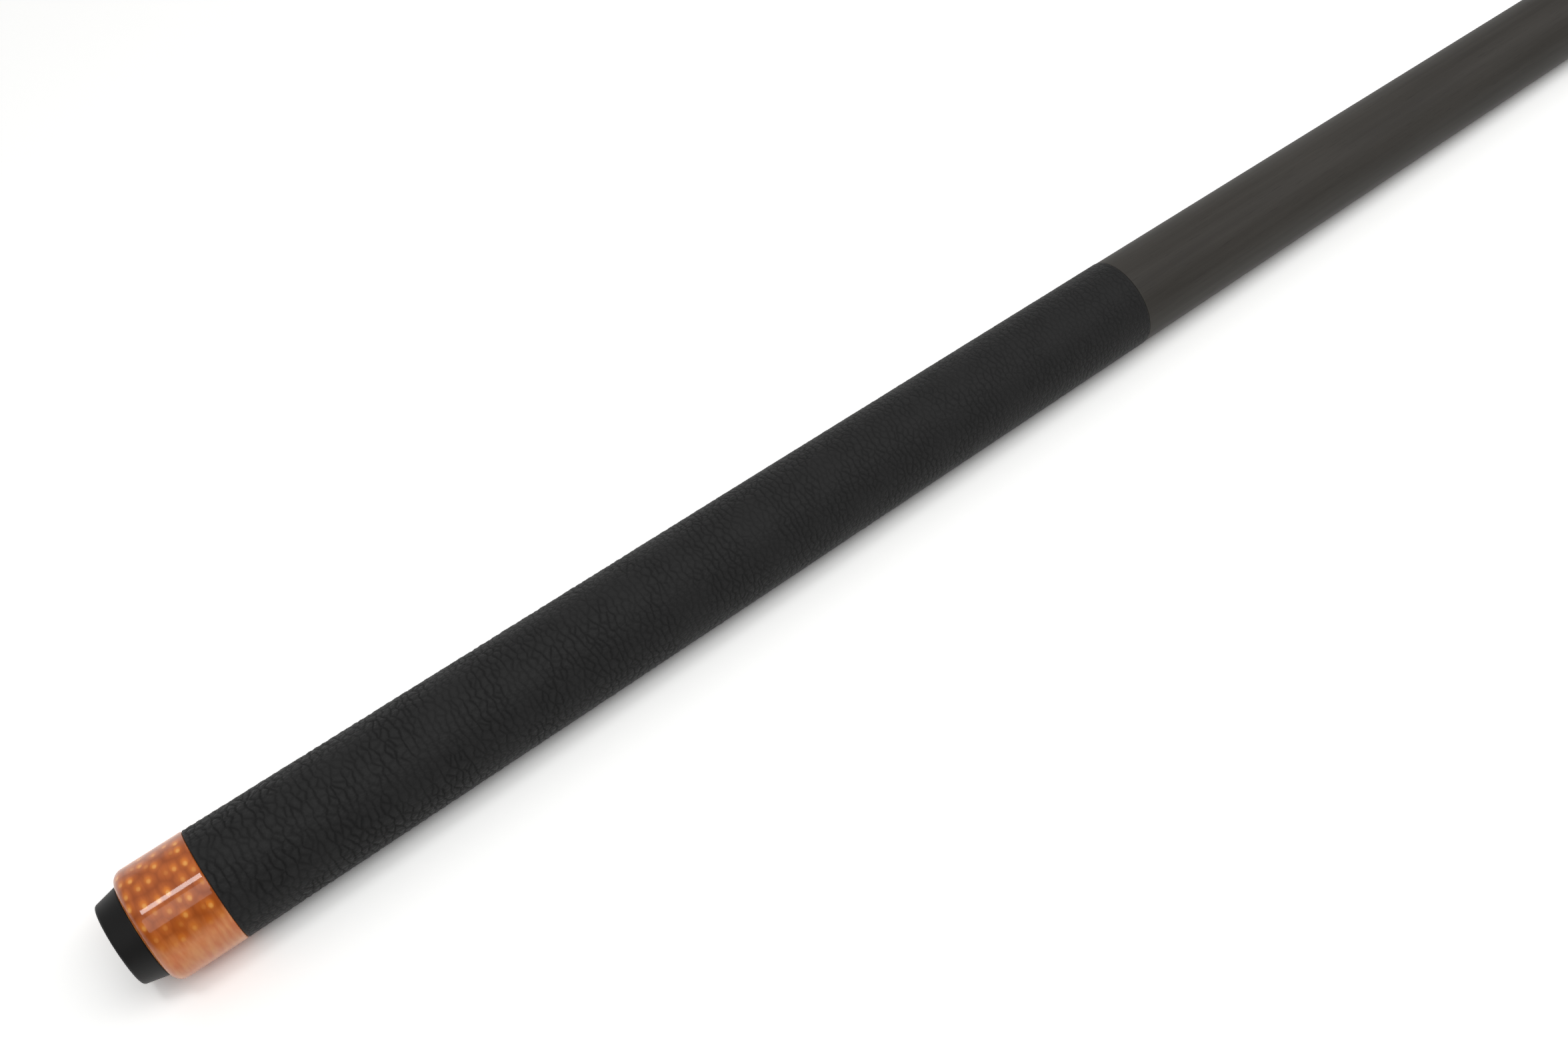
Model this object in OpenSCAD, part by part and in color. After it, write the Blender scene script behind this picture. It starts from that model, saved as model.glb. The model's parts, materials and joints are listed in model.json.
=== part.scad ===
// Two-piece pool cue with a bonded leather wrap, lying level along X.
// The bumper is at -X and the tip at +X; the origin is at the middle of the
// cue's length, on the surface that it lies on. All sizes are in millimetres.
// Stations are measured along the axis from the bumper's end face.

/* [Butt] */
// Diameter of the butt at the cap
butt_d = 31.75; // [30:0.05:36]
// Length of the butt from the cap's end face to the joint face
butt_length = 736.6; // [650:0.1:820]
// Diameter of the forearm where the wrap ends
forearm_rear_d = 27.88; // [26.5:0.01:29]
// Diameter of the cue at the joint face
joint_d = 22.0; // [21:0.01:24]

/* [Wrap] */
// Length of the leather wrap
wrap_length = 304.8; // [200:0.1:330]
// Thickness of the leather
wrap_thickness = 0.95; // [0.6:0.05:1.4]
// Diameter over the wrap at half its length
wrap_middle_d = 30.2; // [29:0.05:31.5]
// How far the wrap stands above the forearm
wrap_step = 0.15; // [0:0.05:0.4]
// Edge of the wrap that is pressed down at both ends
wrap_edge = 0.3; // [0.1:0.05:0.5]

/* [Butt cap] */
// Length of the resin cap
cap_length = 19.8; // [16:0.1:40]
// Radius of the cap's rear edge
cap_edge_r = 3.2; // [0.5:0.1:5]
// Radius of the cap's front edge, against the leather
cap_front_r = 0.5; // [0.2:0.1:1]
// Thickness of the cap's end wall
cap_web = 5.5; // [5:0.1:9]
// Diameter of the handle's tenon in the cap
cap_tenon_d = 22; // [19:0.1:25]

/* [Bumper] */
// Length of the bumper behind the cap
bumper_length = 6.5; // [5.5:0.1:12]
// Diameter of the bumper against the cap
bumper_base_d = 26; // [24:0.1:26.5]
// Diameter of the bumper at its end
bumper_end_d = 22.9; // [18:0.1:24]
// Radius of the bumper's edge
bumper_edge_r = 0.9; // [0.3:0.1:2]
// Diameter of the spigot that centres the bumper in the cap
spigot_d = 15; // [14.5:0.1:17]
// Length of the spigot
spigot_length = 2; // [1:0.1:3]
// Thickness of the rubber behind the stud's head
bumper_floor = 2.5; // [1.5:0.1:3]
// Diameter of the stud's moulded-in head
stud_head_d = 14; // [12:0.1:16]
// Thickness of the stud's head
stud_head_t = 2; // [1.5:0.1:2.4]
// Reach of the stud beyond the cap's end face
stud_reach = 12; // [9:0.1:20]

/* [Weight bolt] */
// Outer diameter of the thread of the weight bolt and the bumper's stud
weight_thread_d = 9.525; // [8:0.005:10.5]
// Length of the weight bolt
weight_bolt_length = 50; // [25:0.5:65]
// Width across the flats of the bolt's hex socket
hex_width = 4.76; // [3:0.01:5.5]
// Depth of the hex socket
hex_depth = 6; // [3:0.1:9]
// Width of the nylon ring that grips the sleeve's thread
lock_ring_width = 3; // [2:0.1:5]
// Depth of the ring's groove
lock_groove_depth = 1.1; // [0.7:0.05:1.4]
// Distance from the groove to the bolt's front end
lock_ring_setback = 4; // [2:0.1:8]
// Outer diameter of the threaded brass sleeve
sleeve_d = 13; // [12.2:0.05:14]
// Length of the sleeve
sleeve_length = 90; // [80:0.5:120]
// Thickness of the sleeve's flange
sleeve_flange_t = 1.5; // [1:0.1:2]

/* [Handle joint] */
// Diameter of the forearm's tenon in the handle
a_tenon_d = 19; // [16:0.1:20]
// Length of that tenon
a_tenon_length = 25.4; // [18:0.1:40]
// Diameter of the stud that draws the forearm to the handle
a_stud_d = 9.525; // [8:0.005:12]
// Length of the stud in each of the two pieces
a_stud_bite = 25; // [18:0.5:40]

/* [Screw joint] */
// Outer diameter of the joint pin's thread
pin_d = 9.525; // [8:0.005:10.5]
// Length of the pin in the forearm
pin_buried = 38; // [25:0.5:60]
// Length of the pin that stands out of the joint face
pin_exposed = 32; // [24:0.5:36]
// Diameter of the pin's plain nose
pin_nose_d = 7.4; // [6:0.1:7.6]
// Length of the plain nose
pin_nose_length = 4; // [2:0.1:6]
// Length of each collar at the joint
collar_length = 22; // [15:0.1:30]
// Diameter of the forearm's tenon in its collar
butt_collar_tenon_d = 16; // [14.5:0.1:18]
// Diameter of the shaft's tenon in its collar
shaft_collar_tenon_d = 17; // [16:0.1:18.2]
// Chamfer on the edges of the joint faces
joint_chamfer = 0.4; // [0.1:0.05:0.8]
// Outer diameter of the brass insert in the shaft
insert_d = 13; // [12.2:0.05:14]
// Length of the insert beyond the pin's nose
insert_spare = 4; // [2:0.1:8]

/* [Shaft] */
// Length of the shaft from the joint face to the top of the tip
shaft_length = 736.6; // [650:0.1:820]
// Diameter of the shaft at the ferrule
tip_d = 12.75; // [11.5:0.01:13.5]
// Length behind the ferrule that keeps that diameter
straight_length = 280; // [150:1:400]
// How strongly the taper curves, where 1 is a plain cone
taper_curve = 1.3; // [1:0.05:1.8]
// Length of the ferrule
ferrule_length = 25.4; // [12:0.1:30]
// Diameter of the shaft's tenon in the ferrule
ferrule_tenon_d = 8.6; // [7:0.1:9.5]
// Thickness of the fibre pad under the tip
pad_thickness = 0.9; // [0.6:0.1:2]
// Height of the leather tip
tip_height = 6.4; // [5:0.1:8]
// Radius of the tip's crown
tip_crown_r = 10.6; // [9:0.1:14]

/* [Clearances] */
// Gap of the glued and pressed fits, on the radius
glue_gap = 0.08; // [0.04:0.01:0.12]
// Gap of the screwed fits, on the radius
screw_gap = 0.05; // [0.02:0.01:0.08]
// Gap round the bumper's spigot, on the radius
spigot_gap = 0.3; // [0.2:0.05:0.5]
// Spare depth of the drilled holes
drill_spare = 0.5; // [0.2:0.1:1]
// Chamfer on the ends of the studs, the bolt and the pin
thread_chamfer = 0.8; // [0.4:0.1:1]

/* [Hidden] */
$fn = 96;

// Stations of the faces along the cue
cap_s = bumper_length;
wrap_s = cap_s + cap_length;
wrap_middle_s = wrap_s + wrap_length / 2;
forearm_s = wrap_s + wrap_length;
joint_s = cap_s + butt_length;
end_s = joint_s + shaft_length;
tip_s = end_s - tip_height;
pad_s = tip_s - pad_thickness;
ferrule_s = pad_s - ferrule_length;
straight_s = ferrule_s - straight_length;
butt_collar_s = joint_s - collar_length;
shaft_collar_end_s = joint_s + collar_length;

// Radii along the cue
wrap_front_d = forearm_rear_d + 2 * wrap_step;
joint_r = joint_d / 2;
tip_r = tip_d / 2;

// The counterbore in the cap's end face takes the sleeve's flange and, behind
// it, the bumper's spigot.
counterbore_r = spigot_d / 2 + spigot_gap;
spigot_end_gap = 0.2;
sleeve_s = cap_s + spigot_length + spigot_end_gap;
sleeve_flange_end_s = sleeve_s + sleeve_flange_t;
sleeve_end_s = sleeve_s + sleeve_length;
cap_tenon_s = cap_s + cap_web;
stud_end_s = cap_s + stud_reach;
weight_r = weight_thread_d / 2;

// The weight bolt rests half way along the free part of the sleeve.
bolt_s = (stud_end_s + sleeve_end_s - weight_bolt_length) / 2;
bolt_end_s = bolt_s + weight_bolt_length;
lock_end_s = bolt_end_s - lock_ring_setback;
lock_s = lock_end_s - lock_ring_width;
lock_r = weight_r - lock_groove_depth;

a_tenon_s = forearm_s - a_tenon_length;
a_stud_s = a_tenon_s - a_stud_bite;
a_stud_end_s = forearm_s + a_stud_bite;
pin_s = joint_s - pin_buried;
pin_end_s = joint_s + pin_exposed;
insert_end_s = pin_end_s + insert_spare;

// Share of the way from a to b at which s lies, from 0 to 1
function share(s, a, b) = min(1, max(0, (s - a) / (b - a)));

// Radius over the wrap, of the forearm and its collar, and of the shaft
function wrap_r(s) = s < wrap_middle_s
    ? (butt_d + (wrap_middle_d - butt_d) * share(s, wrap_s, wrap_middle_s)) / 2
    : (wrap_middle_d + (wrap_front_d - wrap_middle_d) * share(s, wrap_middle_s, forearm_s)) / 2;
function forearm_r(s) = (forearm_rear_d + (joint_d - forearm_rear_d) * share(s, forearm_s, joint_s)) / 2;
function shaft_r(s) = tip_r + (joint_r - tip_r) * pow(1 - share(s, joint_s, straight_s), taper_curve);

// Points [station, radius] on an arc about the point centre
function arc(centre, radius, from, to, steps = 10) =
    [for (i = [0:steps]) let (a = from + (to - from) * i / steps)
        centre + radius * [cos(a), sin(a)]];

// Solid turned about the cue's axis from points [station, radius]
module turned(profile) {
    rotate([0, 90, 0]) rotate_extrude() polygon([for (p = profile) [p[1], p[0]]]);
}

// Plain rod or hole on the cue's axis from one station to another
module rod(from, to, r) {
    translate([from, 0, 0]) rotate([0, 90, 0]) cylinder(r = r, h = to - from);
}

// Stud with both ends chamfered
module stud(from, to, r) {
    turned([[from, 0], [from, r - thread_chamfer], [from + thread_chamfer, r],
            [to - thread_chamfer, r], [to, r - thread_chamfer], [to, 0]]);
}

// How far a cutter runs out past the face that it starts from
over = 1;

module bumper_shape() {
    base_r = bumper_base_d / 2;
    end_r = bumper_end_d / 2;
    // The side leans in towards the end, and meets it in a round edge.
    lean = atan2(base_r - end_r, bumper_length);
    turn = 90 - lean;
    run = bumper_edge_r * tan(turn / 2);
    edge = [bumper_edge_r, end_r - run];
    head_s = bumper_floor + stud_head_t;
    difference() {
        union() {
            turned(concat([[0, 0]], arc(edge, bumper_edge_r, 180, 180 - turn),
                          [[cap_s, base_r], [cap_s, 0]]));
            rod(cap_s - over, cap_s + spigot_length, spigot_d / 2);
        }
        rod(bumper_floor, head_s, stud_head_d / 2 + screw_gap);
        rod(bumper_floor, cap_s + spigot_length + over, weight_r + screw_gap);
    }
}

module bumper_stud_shape() {
    rod(bumper_floor, bumper_floor + stud_head_t, stud_head_d / 2);
    turned([[bumper_floor, 0], [bumper_floor, weight_r], [stud_end_s - thread_chamfer, weight_r],
            [stud_end_s, weight_r - thread_chamfer], [stud_end_s, 0]]);
}

module butt_cap_shape() {
    r = butt_d / 2;
    difference() {
        turned(concat([[cap_s, 0]], arc([cap_s + cap_edge_r, r - cap_edge_r], cap_edge_r, 180, 90),
                      arc([wrap_s - cap_front_r, r - cap_front_r], cap_front_r, 90, 0, 4),
                      [[wrap_s, 0]]));
        rod(cap_s - over, sleeve_flange_end_s, counterbore_r);
        rod(cap_s, cap_tenon_s + over, sleeve_d / 2 + glue_gap);
        rod(cap_tenon_s, wrap_s + over, cap_tenon_d / 2 + glue_gap);
    }
}

module weight_sleeve_shape() {
    difference() {
        union() {
            rod(sleeve_s, sleeve_flange_end_s, counterbore_r - glue_gap);
            rod(sleeve_s, sleeve_end_s, sleeve_d / 2);
        }
        rod(sleeve_s - over, sleeve_end_s + over, weight_r + screw_gap);
    }
}

module weight_bolt_shape() {
    difference() {
        stud(bolt_s, bolt_end_s, weight_r);
        translate([bolt_s - over, 0, 0]) rotate([0, 90, 0])
            cylinder(d = hex_width / cos(30), h = hex_depth + over, $fn = 6);
        difference() {
            rod(lock_s, lock_end_s, weight_r + over);
            rod(lock_s - over, lock_end_s + over, lock_r);
        }
    }
}

module bolt_lock_ring_shape() {
    difference() {
        rod(lock_s, lock_end_s, weight_r);
        rod(lock_s - over, lock_end_s + over, lock_r + screw_gap);
    }
}

module handle_shape() {
    // The handle is turned down all the way for the leather.
    under = wrap_thickness + glue_gap;
    difference() {
        turned([[cap_tenon_s, 0], [cap_tenon_s, cap_tenon_d / 2], [wrap_s, cap_tenon_d / 2],
                [wrap_s, wrap_r(wrap_s) - under], [wrap_middle_s, wrap_r(wrap_middle_s) - under],
                [forearm_s, wrap_r(forearm_s) - under], [forearm_s, 0]]);
        rod(cap_tenon_s - over, sleeve_end_s + drill_spare, sleeve_d / 2 + glue_gap);
        rod(a_stud_s - drill_spare, forearm_s, a_stud_d / 2 + glue_gap);
        rod(a_tenon_s - drill_spare, forearm_s + over, a_tenon_d / 2 + glue_gap);
    }
}

module leather_wrap_shape() {
    outer = [[wrap_s, wrap_r(wrap_s) - wrap_edge], [wrap_s + wrap_edge, wrap_r(wrap_s + wrap_edge)],
             [wrap_middle_s, wrap_r(wrap_middle_s)],
             [forearm_s - wrap_edge, wrap_r(forearm_s - wrap_edge)],
             [forearm_s, wrap_r(forearm_s) - wrap_edge]];
    inner = [for (s = [forearm_s, wrap_middle_s, wrap_s]) [s, wrap_r(s) - wrap_thickness]];
    turned(concat(outer, inner));
}

module handle_stud_shape() {
    stud(a_stud_s, a_stud_end_s, a_stud_d / 2);
}

module forearm_shape() {
    difference() {
        turned([[a_tenon_s, 0], [a_tenon_s, a_tenon_d / 2], [forearm_s, a_tenon_d / 2],
                [forearm_s, forearm_r(forearm_s)], [butt_collar_s, forearm_r(butt_collar_s)],
                [butt_collar_s, butt_collar_tenon_d / 2], [joint_s, butt_collar_tenon_d / 2],
                [joint_s, 0]]);
        rod(a_tenon_s - over, a_stud_end_s + drill_spare, a_stud_d / 2 + glue_gap);
        rod(pin_s - drill_spare, joint_s + over, pin_d / 2 + glue_gap);
    }
}

module butt_collar_shape() {
    difference() {
        turned([[butt_collar_s, 0], [butt_collar_s, forearm_r(butt_collar_s)],
                [joint_s - joint_chamfer, forearm_r(joint_s - joint_chamfer)],
                [joint_s, joint_r - joint_chamfer], [joint_s, 0]]);
        rod(butt_collar_s - over, joint_s + over, butt_collar_tenon_d / 2 + glue_gap);
    }
}

module joint_pin_shape() {
    r = pin_d / 2;
    nose_r = pin_nose_d / 2;
    nose_s = pin_end_s - pin_nose_length;
    turned([[pin_s, 0], [pin_s, r - thread_chamfer], [pin_s + thread_chamfer, r],
            [nose_s - (r - nose_r), r], [nose_s, nose_r], [pin_end_s - thread_chamfer, nose_r],
            [pin_end_s, nose_r - thread_chamfer], [pin_end_s, 0]]);
}

module shaft_insert_shape() {
    bore_r = pin_d / 2 + screw_gap;
    difference() {
        rod(joint_s, insert_end_s, insert_d / 2);
        rod(joint_s - over, insert_end_s + over, bore_r);
        // The mouth is countersunk to lead the pin in.
        turned([[joint_s - over, 0], [joint_s - over, bore_r + thread_chamfer + over],
                [joint_s + thread_chamfer, bore_r], [joint_s + thread_chamfer, 0]]);
    }
}

module shaft_collar_shape() {
    difference() {
        turned([[joint_s, 0], [joint_s, joint_r - joint_chamfer],
                [joint_s + joint_chamfer, shaft_r(joint_s + joint_chamfer)],
                [shaft_collar_end_s, shaft_r(shaft_collar_end_s)], [shaft_collar_end_s, 0]]);
        rod(joint_s - over, shaft_collar_end_s + over, shaft_collar_tenon_d / 2 + glue_gap);
    }
}

module shaft_shape() {
    taper_steps = 16;
    taper = [for (i = [0:taper_steps])
        let (s = shaft_collar_end_s + (straight_s - shaft_collar_end_s) * i / taper_steps)
            [s, shaft_r(s)]];
    difference() {
        turned(concat([[joint_s, 0], [joint_s, shaft_collar_tenon_d / 2],
                       [shaft_collar_end_s, shaft_collar_tenon_d / 2]], taper,
                      [[ferrule_s, tip_r], [ferrule_s, ferrule_tenon_d / 2],
                       [pad_s, ferrule_tenon_d / 2], [pad_s, 0]]));
        rod(joint_s - over, insert_end_s + drill_spare, insert_d / 2 + glue_gap);
    }
}

module ferrule_shape() {
    difference() {
        rod(ferrule_s, pad_s, tip_r);
        rod(ferrule_s - over, pad_s + over, ferrule_tenon_d / 2 + glue_gap);
    }
}

module tip_pad_shape() {
    rod(pad_s, tip_s, tip_r);
}

module tip_shape() {
    side = asin(tip_r / tip_crown_r);
    turned(concat([[tip_s, 0], [tip_s, tip_r]], arc([end_s - tip_crown_r, 0], tip_crown_r, side, 0)));
}

// Places the cue along X, level, with its thickest ring on the ground
module placed() {
    translate([-end_s / 2, 0, butt_d / 2]) children();
}

module bumper() { color([0.07, 0.07, 0.08]) placed() bumper_shape(); }
module bumper_stud() { color([0.62, 0.63, 0.65]) placed() bumper_stud_shape(); }
module butt_cap() { color([0.72, 0.38, 0.17]) placed() butt_cap_shape(); }
module weight_sleeve() { color([0.80, 0.66, 0.33]) placed() weight_sleeve_shape(); }
module weight_bolt() { color([0.25, 0.25, 0.27]) placed() weight_bolt_shape(); }
module bolt_lock_ring() { color([0.20, 0.32, 0.55]) placed() bolt_lock_ring_shape(); }
module handle() { color([0.80, 0.66, 0.47]) placed() handle_shape(); }
module leather_wrap() { color([0.14, 0.14, 0.14]) placed() leather_wrap_shape(); }
module handle_stud() { color([0.62, 0.63, 0.65]) placed() handle_stud_shape(); }
module forearm() { color([0.27, 0.26, 0.25]) placed() forearm_shape(); }
module butt_collar() { color([0.06, 0.06, 0.06]) placed() butt_collar_shape(); }
module joint_pin() { color([0.72, 0.73, 0.75]) placed() joint_pin_shape(); }
module shaft_insert() { color([0.80, 0.66, 0.33]) placed() shaft_insert_shape(); }
module shaft_collar() { color([0.06, 0.06, 0.06]) placed() shaft_collar_shape(); }
module shaft() { color([0.87, 0.74, 0.53]) placed() shaft_shape(); }
module ferrule() { color([0.93, 0.92, 0.89]) placed() ferrule_shape(); }
module tip_pad() { color([0.60, 0.10, 0.08]) placed() tip_pad_shape(); }
module tip() { color([0.43, 0.28, 0.16]) placed() tip_shape(); }

bumper();
bumper_stud();
butt_cap();
weight_sleeve();
weight_bolt();
bolt_lock_ring();
handle();
leather_wrap();
handle_stud();
forearm();
butt_collar();
joint_pin();
shaft_insert();
shaft_collar();
shaft();
ferrule();
tip_pad();
tip();
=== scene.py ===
import json
from math import atan2, cos, hypot, pi, radians, sin, tan

import bmesh
import bpy
from mathutils import Matrix, Vector


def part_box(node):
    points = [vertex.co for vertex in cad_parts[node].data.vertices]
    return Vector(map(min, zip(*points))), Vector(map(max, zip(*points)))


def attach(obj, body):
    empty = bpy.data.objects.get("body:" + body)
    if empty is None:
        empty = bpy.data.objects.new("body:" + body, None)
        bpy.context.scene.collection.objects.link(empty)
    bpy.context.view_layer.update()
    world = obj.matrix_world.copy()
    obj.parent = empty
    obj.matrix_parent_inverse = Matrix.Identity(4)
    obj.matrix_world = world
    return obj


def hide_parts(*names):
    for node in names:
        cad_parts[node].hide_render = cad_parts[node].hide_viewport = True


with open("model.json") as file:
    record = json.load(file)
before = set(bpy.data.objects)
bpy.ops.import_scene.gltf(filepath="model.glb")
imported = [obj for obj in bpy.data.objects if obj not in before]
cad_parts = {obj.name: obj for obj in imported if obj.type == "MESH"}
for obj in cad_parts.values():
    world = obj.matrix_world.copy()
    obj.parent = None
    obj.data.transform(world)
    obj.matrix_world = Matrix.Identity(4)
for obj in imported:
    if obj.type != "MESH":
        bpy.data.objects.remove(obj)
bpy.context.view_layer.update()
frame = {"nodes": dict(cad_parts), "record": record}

# A two-piece pool cue, lying along X with the bumper at -X and the tip at +X.
# The CAD nodes give every outline, and the pieces here are turned finer on them.
MM = 0.001
CAP_LOW, CAP_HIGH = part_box("butt_cap")
AXIS_Z = (CAP_LOW.z + CAP_HIGH.z) / 2
BODIES = frame["record"]["behaviour"]["bodies"]
BODY_OF = {node: body for body, nodes in BODIES.items() for node in nodes}


def placed(name, data):
    """A new object in the scene, with this mesh, camera or light."""
    thing = bpy.data.objects.new(name, data)
    bpy.context.scene.collection.objects.link(thing)
    return thing


# ---------------------------------------------------------------- camera

def make_camera():
    """The photograph's view, found from the known lengths and diameters of the butt."""
    pitch, heading = radians(60.08), radians(53.40)
    forward = Vector((cos(pitch) * cos(heading), cos(pitch) * sin(heading), -sin(pitch)))
    right = Vector((sin(heading), -cos(heading), 0))
    up = right.cross(forward)
    camera = placed("camera", bpy.data.cameras.new("camera"))
    camera.matrix_world = Matrix((right, up, -forward)).transposed().to_4x4()
    camera.location = (-0.68085, -0.196, 0.437875)
    camera.data.lens = 39.64
    camera.data.sensor_width = 36
    camera.data.clip_start = 0.01
    bpy.context.scene.camera = camera


# ---------------------------------------------------------------- node helpers

# The Mix node's sockets for colours and for numbers, which share their names
COLOUR_A, COLOUR_B, COLOUR_OUT = 6, 7, 2
NUMBER_A, NUMBER_B = 2, 3


def linear(hex_code):
    """Linear RGBA of an sRGB hex colour."""
    parts = [int(hex_code[i:i + 2], 16) / 255 for i in (1, 3, 5)]
    return [p / 12.92 if p <= 0.04045 else ((p + 0.055) / 1.055) ** 2.4 for p in parts] + [1.0]


def connect(tree, node, sockets):
    """Sets a node's sockets to values, or links them to other nodes' outputs."""
    for name, value in sockets.items():
        if isinstance(value, bpy.types.NodeSocket):
            tree.links.new(value, node.inputs[name])
        else:
            node.inputs[name].default_value = value


def add(tree, kind, sockets=None, **settings):
    """Adds a node with its settings and links."""
    node = tree.nodes.new(kind)
    for name, value in settings.items():
        setattr(node, name, value)
    connect(tree, node, sockets or {})
    return node


def new_material(name):
    """A material with a Principled surface; returns it, its tree and the surface node."""
    material = bpy.data.materials.new(name)
    material.use_nodes = True
    tree = material.node_tree
    tree.nodes.clear()
    surface = add(tree, "ShaderNodeBsdfPrincipled")
    add(tree, "ShaderNodeOutputMaterial", {"Surface": surface.outputs[0]})
    return material, tree, surface


def every(millimetres):
    """Texture scale, on coordinates in metres, of a pattern that repeats at this size."""
    return 1 / (millimetres * MM)


def stretched(tree, along, across):
    """Object coordinates counted in pattern sizes: along the cue and across it, in mm."""
    place = add(tree, "ShaderNodeTexCoord").outputs["Object"]
    return add(tree, "ShaderNodeVectorMath",
               {0: place, 1: (every(along), every(across), every(across))},
               operation="MULTIPLY").outputs[0]


# ---------------------------------------------------------------- materials

# The hide's grain, in mm on the flat leather: its pebbles, along the cue and round it, the
# little ones on their tops, how far and over what length the grain drifts off a lattice, how
# wide the patches are that were tumbled more or less, and its pores
PEBBLE_SIZE = (2.2, 3.0)
SMALL_PEBBLE = 0.9
GRAIN_DRIFT, DRIFT_LENGTH = 1.5, 3.6
PATCH_SIZE = 16.0
PORE_SIZE = 0.35
# Depths in mm, and widths as shares of a pebble, of the valleys between pebbles and the
# creases in their bottoms
VALLEY_DEPTH, VALLEY_WIDTH = 0.26, 0.50
CREASE_DEPTH, CREASE_WIDTH = 0.03, 0.26
# How deep the creases along the cue are, and the creases of the least tumbled patches, as
# shares of the deepest
CREASES_ALONG, LEAST_TUMBLED = 0.45, 0.55
# What the material's bump adds, in mm: pores, the fall from a little pebble's top to its
# edge, and some more depth in valleys and creases
PORE_RELIEF, PEBBLE_FALL, VALLEY_RELIEF, CREASE_RELIEF = 0.03, 0.12, 0.05, 0.03
# Shares of painted shade: how much the colour is darkened in valleys and creases, where shade falls
VALLEY_PAINTED_SHADE, CREASE_PAINTED_SHADE = 0.3, 0.4


def tumbled_grain(tree, hide):
    """Nodes for the grain of tumbled leather, on flat coordinates in mm. The outputs are the
    crease, a soft line between pebbles, and the valley, its wide sides. Both are 1 at the
    bottom. Creases across the cue are the deep ones, as the hide was wrapped round it."""
    drift = add(tree, "ShaderNodeTexNoise",
                {"Vector": hide, "Scale": 1 / DRIFT_LENGTH, "Detail": 2.0}, noise_dimensions="2D")
    shift = add(tree, "ShaderNodeVectorMath",
                {0: drift.outputs["Color"], 1: (GRAIN_DRIFT,) * 3, 2: hide},
                operation="MULTIPLY_ADD")
    lattice = add(tree, "ShaderNodeVectorMath",
                  {0: shift.outputs[0], 1: (1 / PEBBLE_SIZE[0], 1 / PEBBLE_SIZE[1], 0)},
                  operation="MULTIPLY").outputs[0]
    cells = {"Vector": lattice, "Scale": 1.0, "Randomness": 0.85}
    edge = add(tree, "ShaderNodeTexVoronoi", cells, voronoi_dimensions="2D",
               feature="DISTANCE_TO_EDGE").outputs["Distance"]
    here = add(tree, "ShaderNodeTexVoronoi", cells, voronoi_dimensions="2D", feature="F1")
    beyond = add(tree, "ShaderNodeTexVoronoi", cells, voronoi_dimensions="2D", feature="F2")
    over = add(tree, "ShaderNodeVectorMath",
               {0: beyond.outputs["Position"], 1: here.outputs["Position"]}, operation="SUBTRACT")
    way = add(tree, "ShaderNodeVectorMath", {0: over.outputs[0]}, operation="NORMALIZE")
    along = add(tree, "ShaderNodeSeparateXYZ", {0: way.outputs[0]}).outputs[0]
    across = add(tree, "ShaderNodeMath", {0: along}, operation="ABSOLUTE")
    depth = add(tree, "ShaderNodeMapRange",
                {"Value": across.outputs[0], "From Min": 0.25, "From Max": 0.85,
                 "To Min": CREASES_ALONG, "To Max": 1.0})
    patch = add(tree, "ShaderNodeTexNoise",
                {"Vector": hide, "Scale": 1 / PATCH_SIZE, "Detail": 1.0}, noise_dimensions="2D")
    tumbling = add(tree, "ShaderNodeMapRange",
                   {"Value": patch.outputs[0], "From Min": 0.36, "From Max": 0.56,
                    "To Min": LEAST_TUMBLED, "To Max": 1.0})
    strength = add(tree, "ShaderNodeMath", {0: depth.outputs[0], 1: tumbling.outputs[0]},
                   operation="MULTIPLY").outputs[0]
    crease = add(tree, "ShaderNodeMapRange",
                 {"Value": edge, "From Min": 0.0, "From Max": CREASE_WIDTH,
                  "To Min": strength, "To Max": 0.0},
                 interpolation_type="SMOOTHSTEP")
    valley = add(tree, "ShaderNodeMapRange",
                 {"Value": edge, "From Min": 0.0, "From Max": VALLEY_WIDTH,
                  "To Min": strength, "To Max": 0.0},
                 interpolation_type="SMOOTHSTEP")
    return crease.outputs[0], valley.outputs[0]


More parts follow.
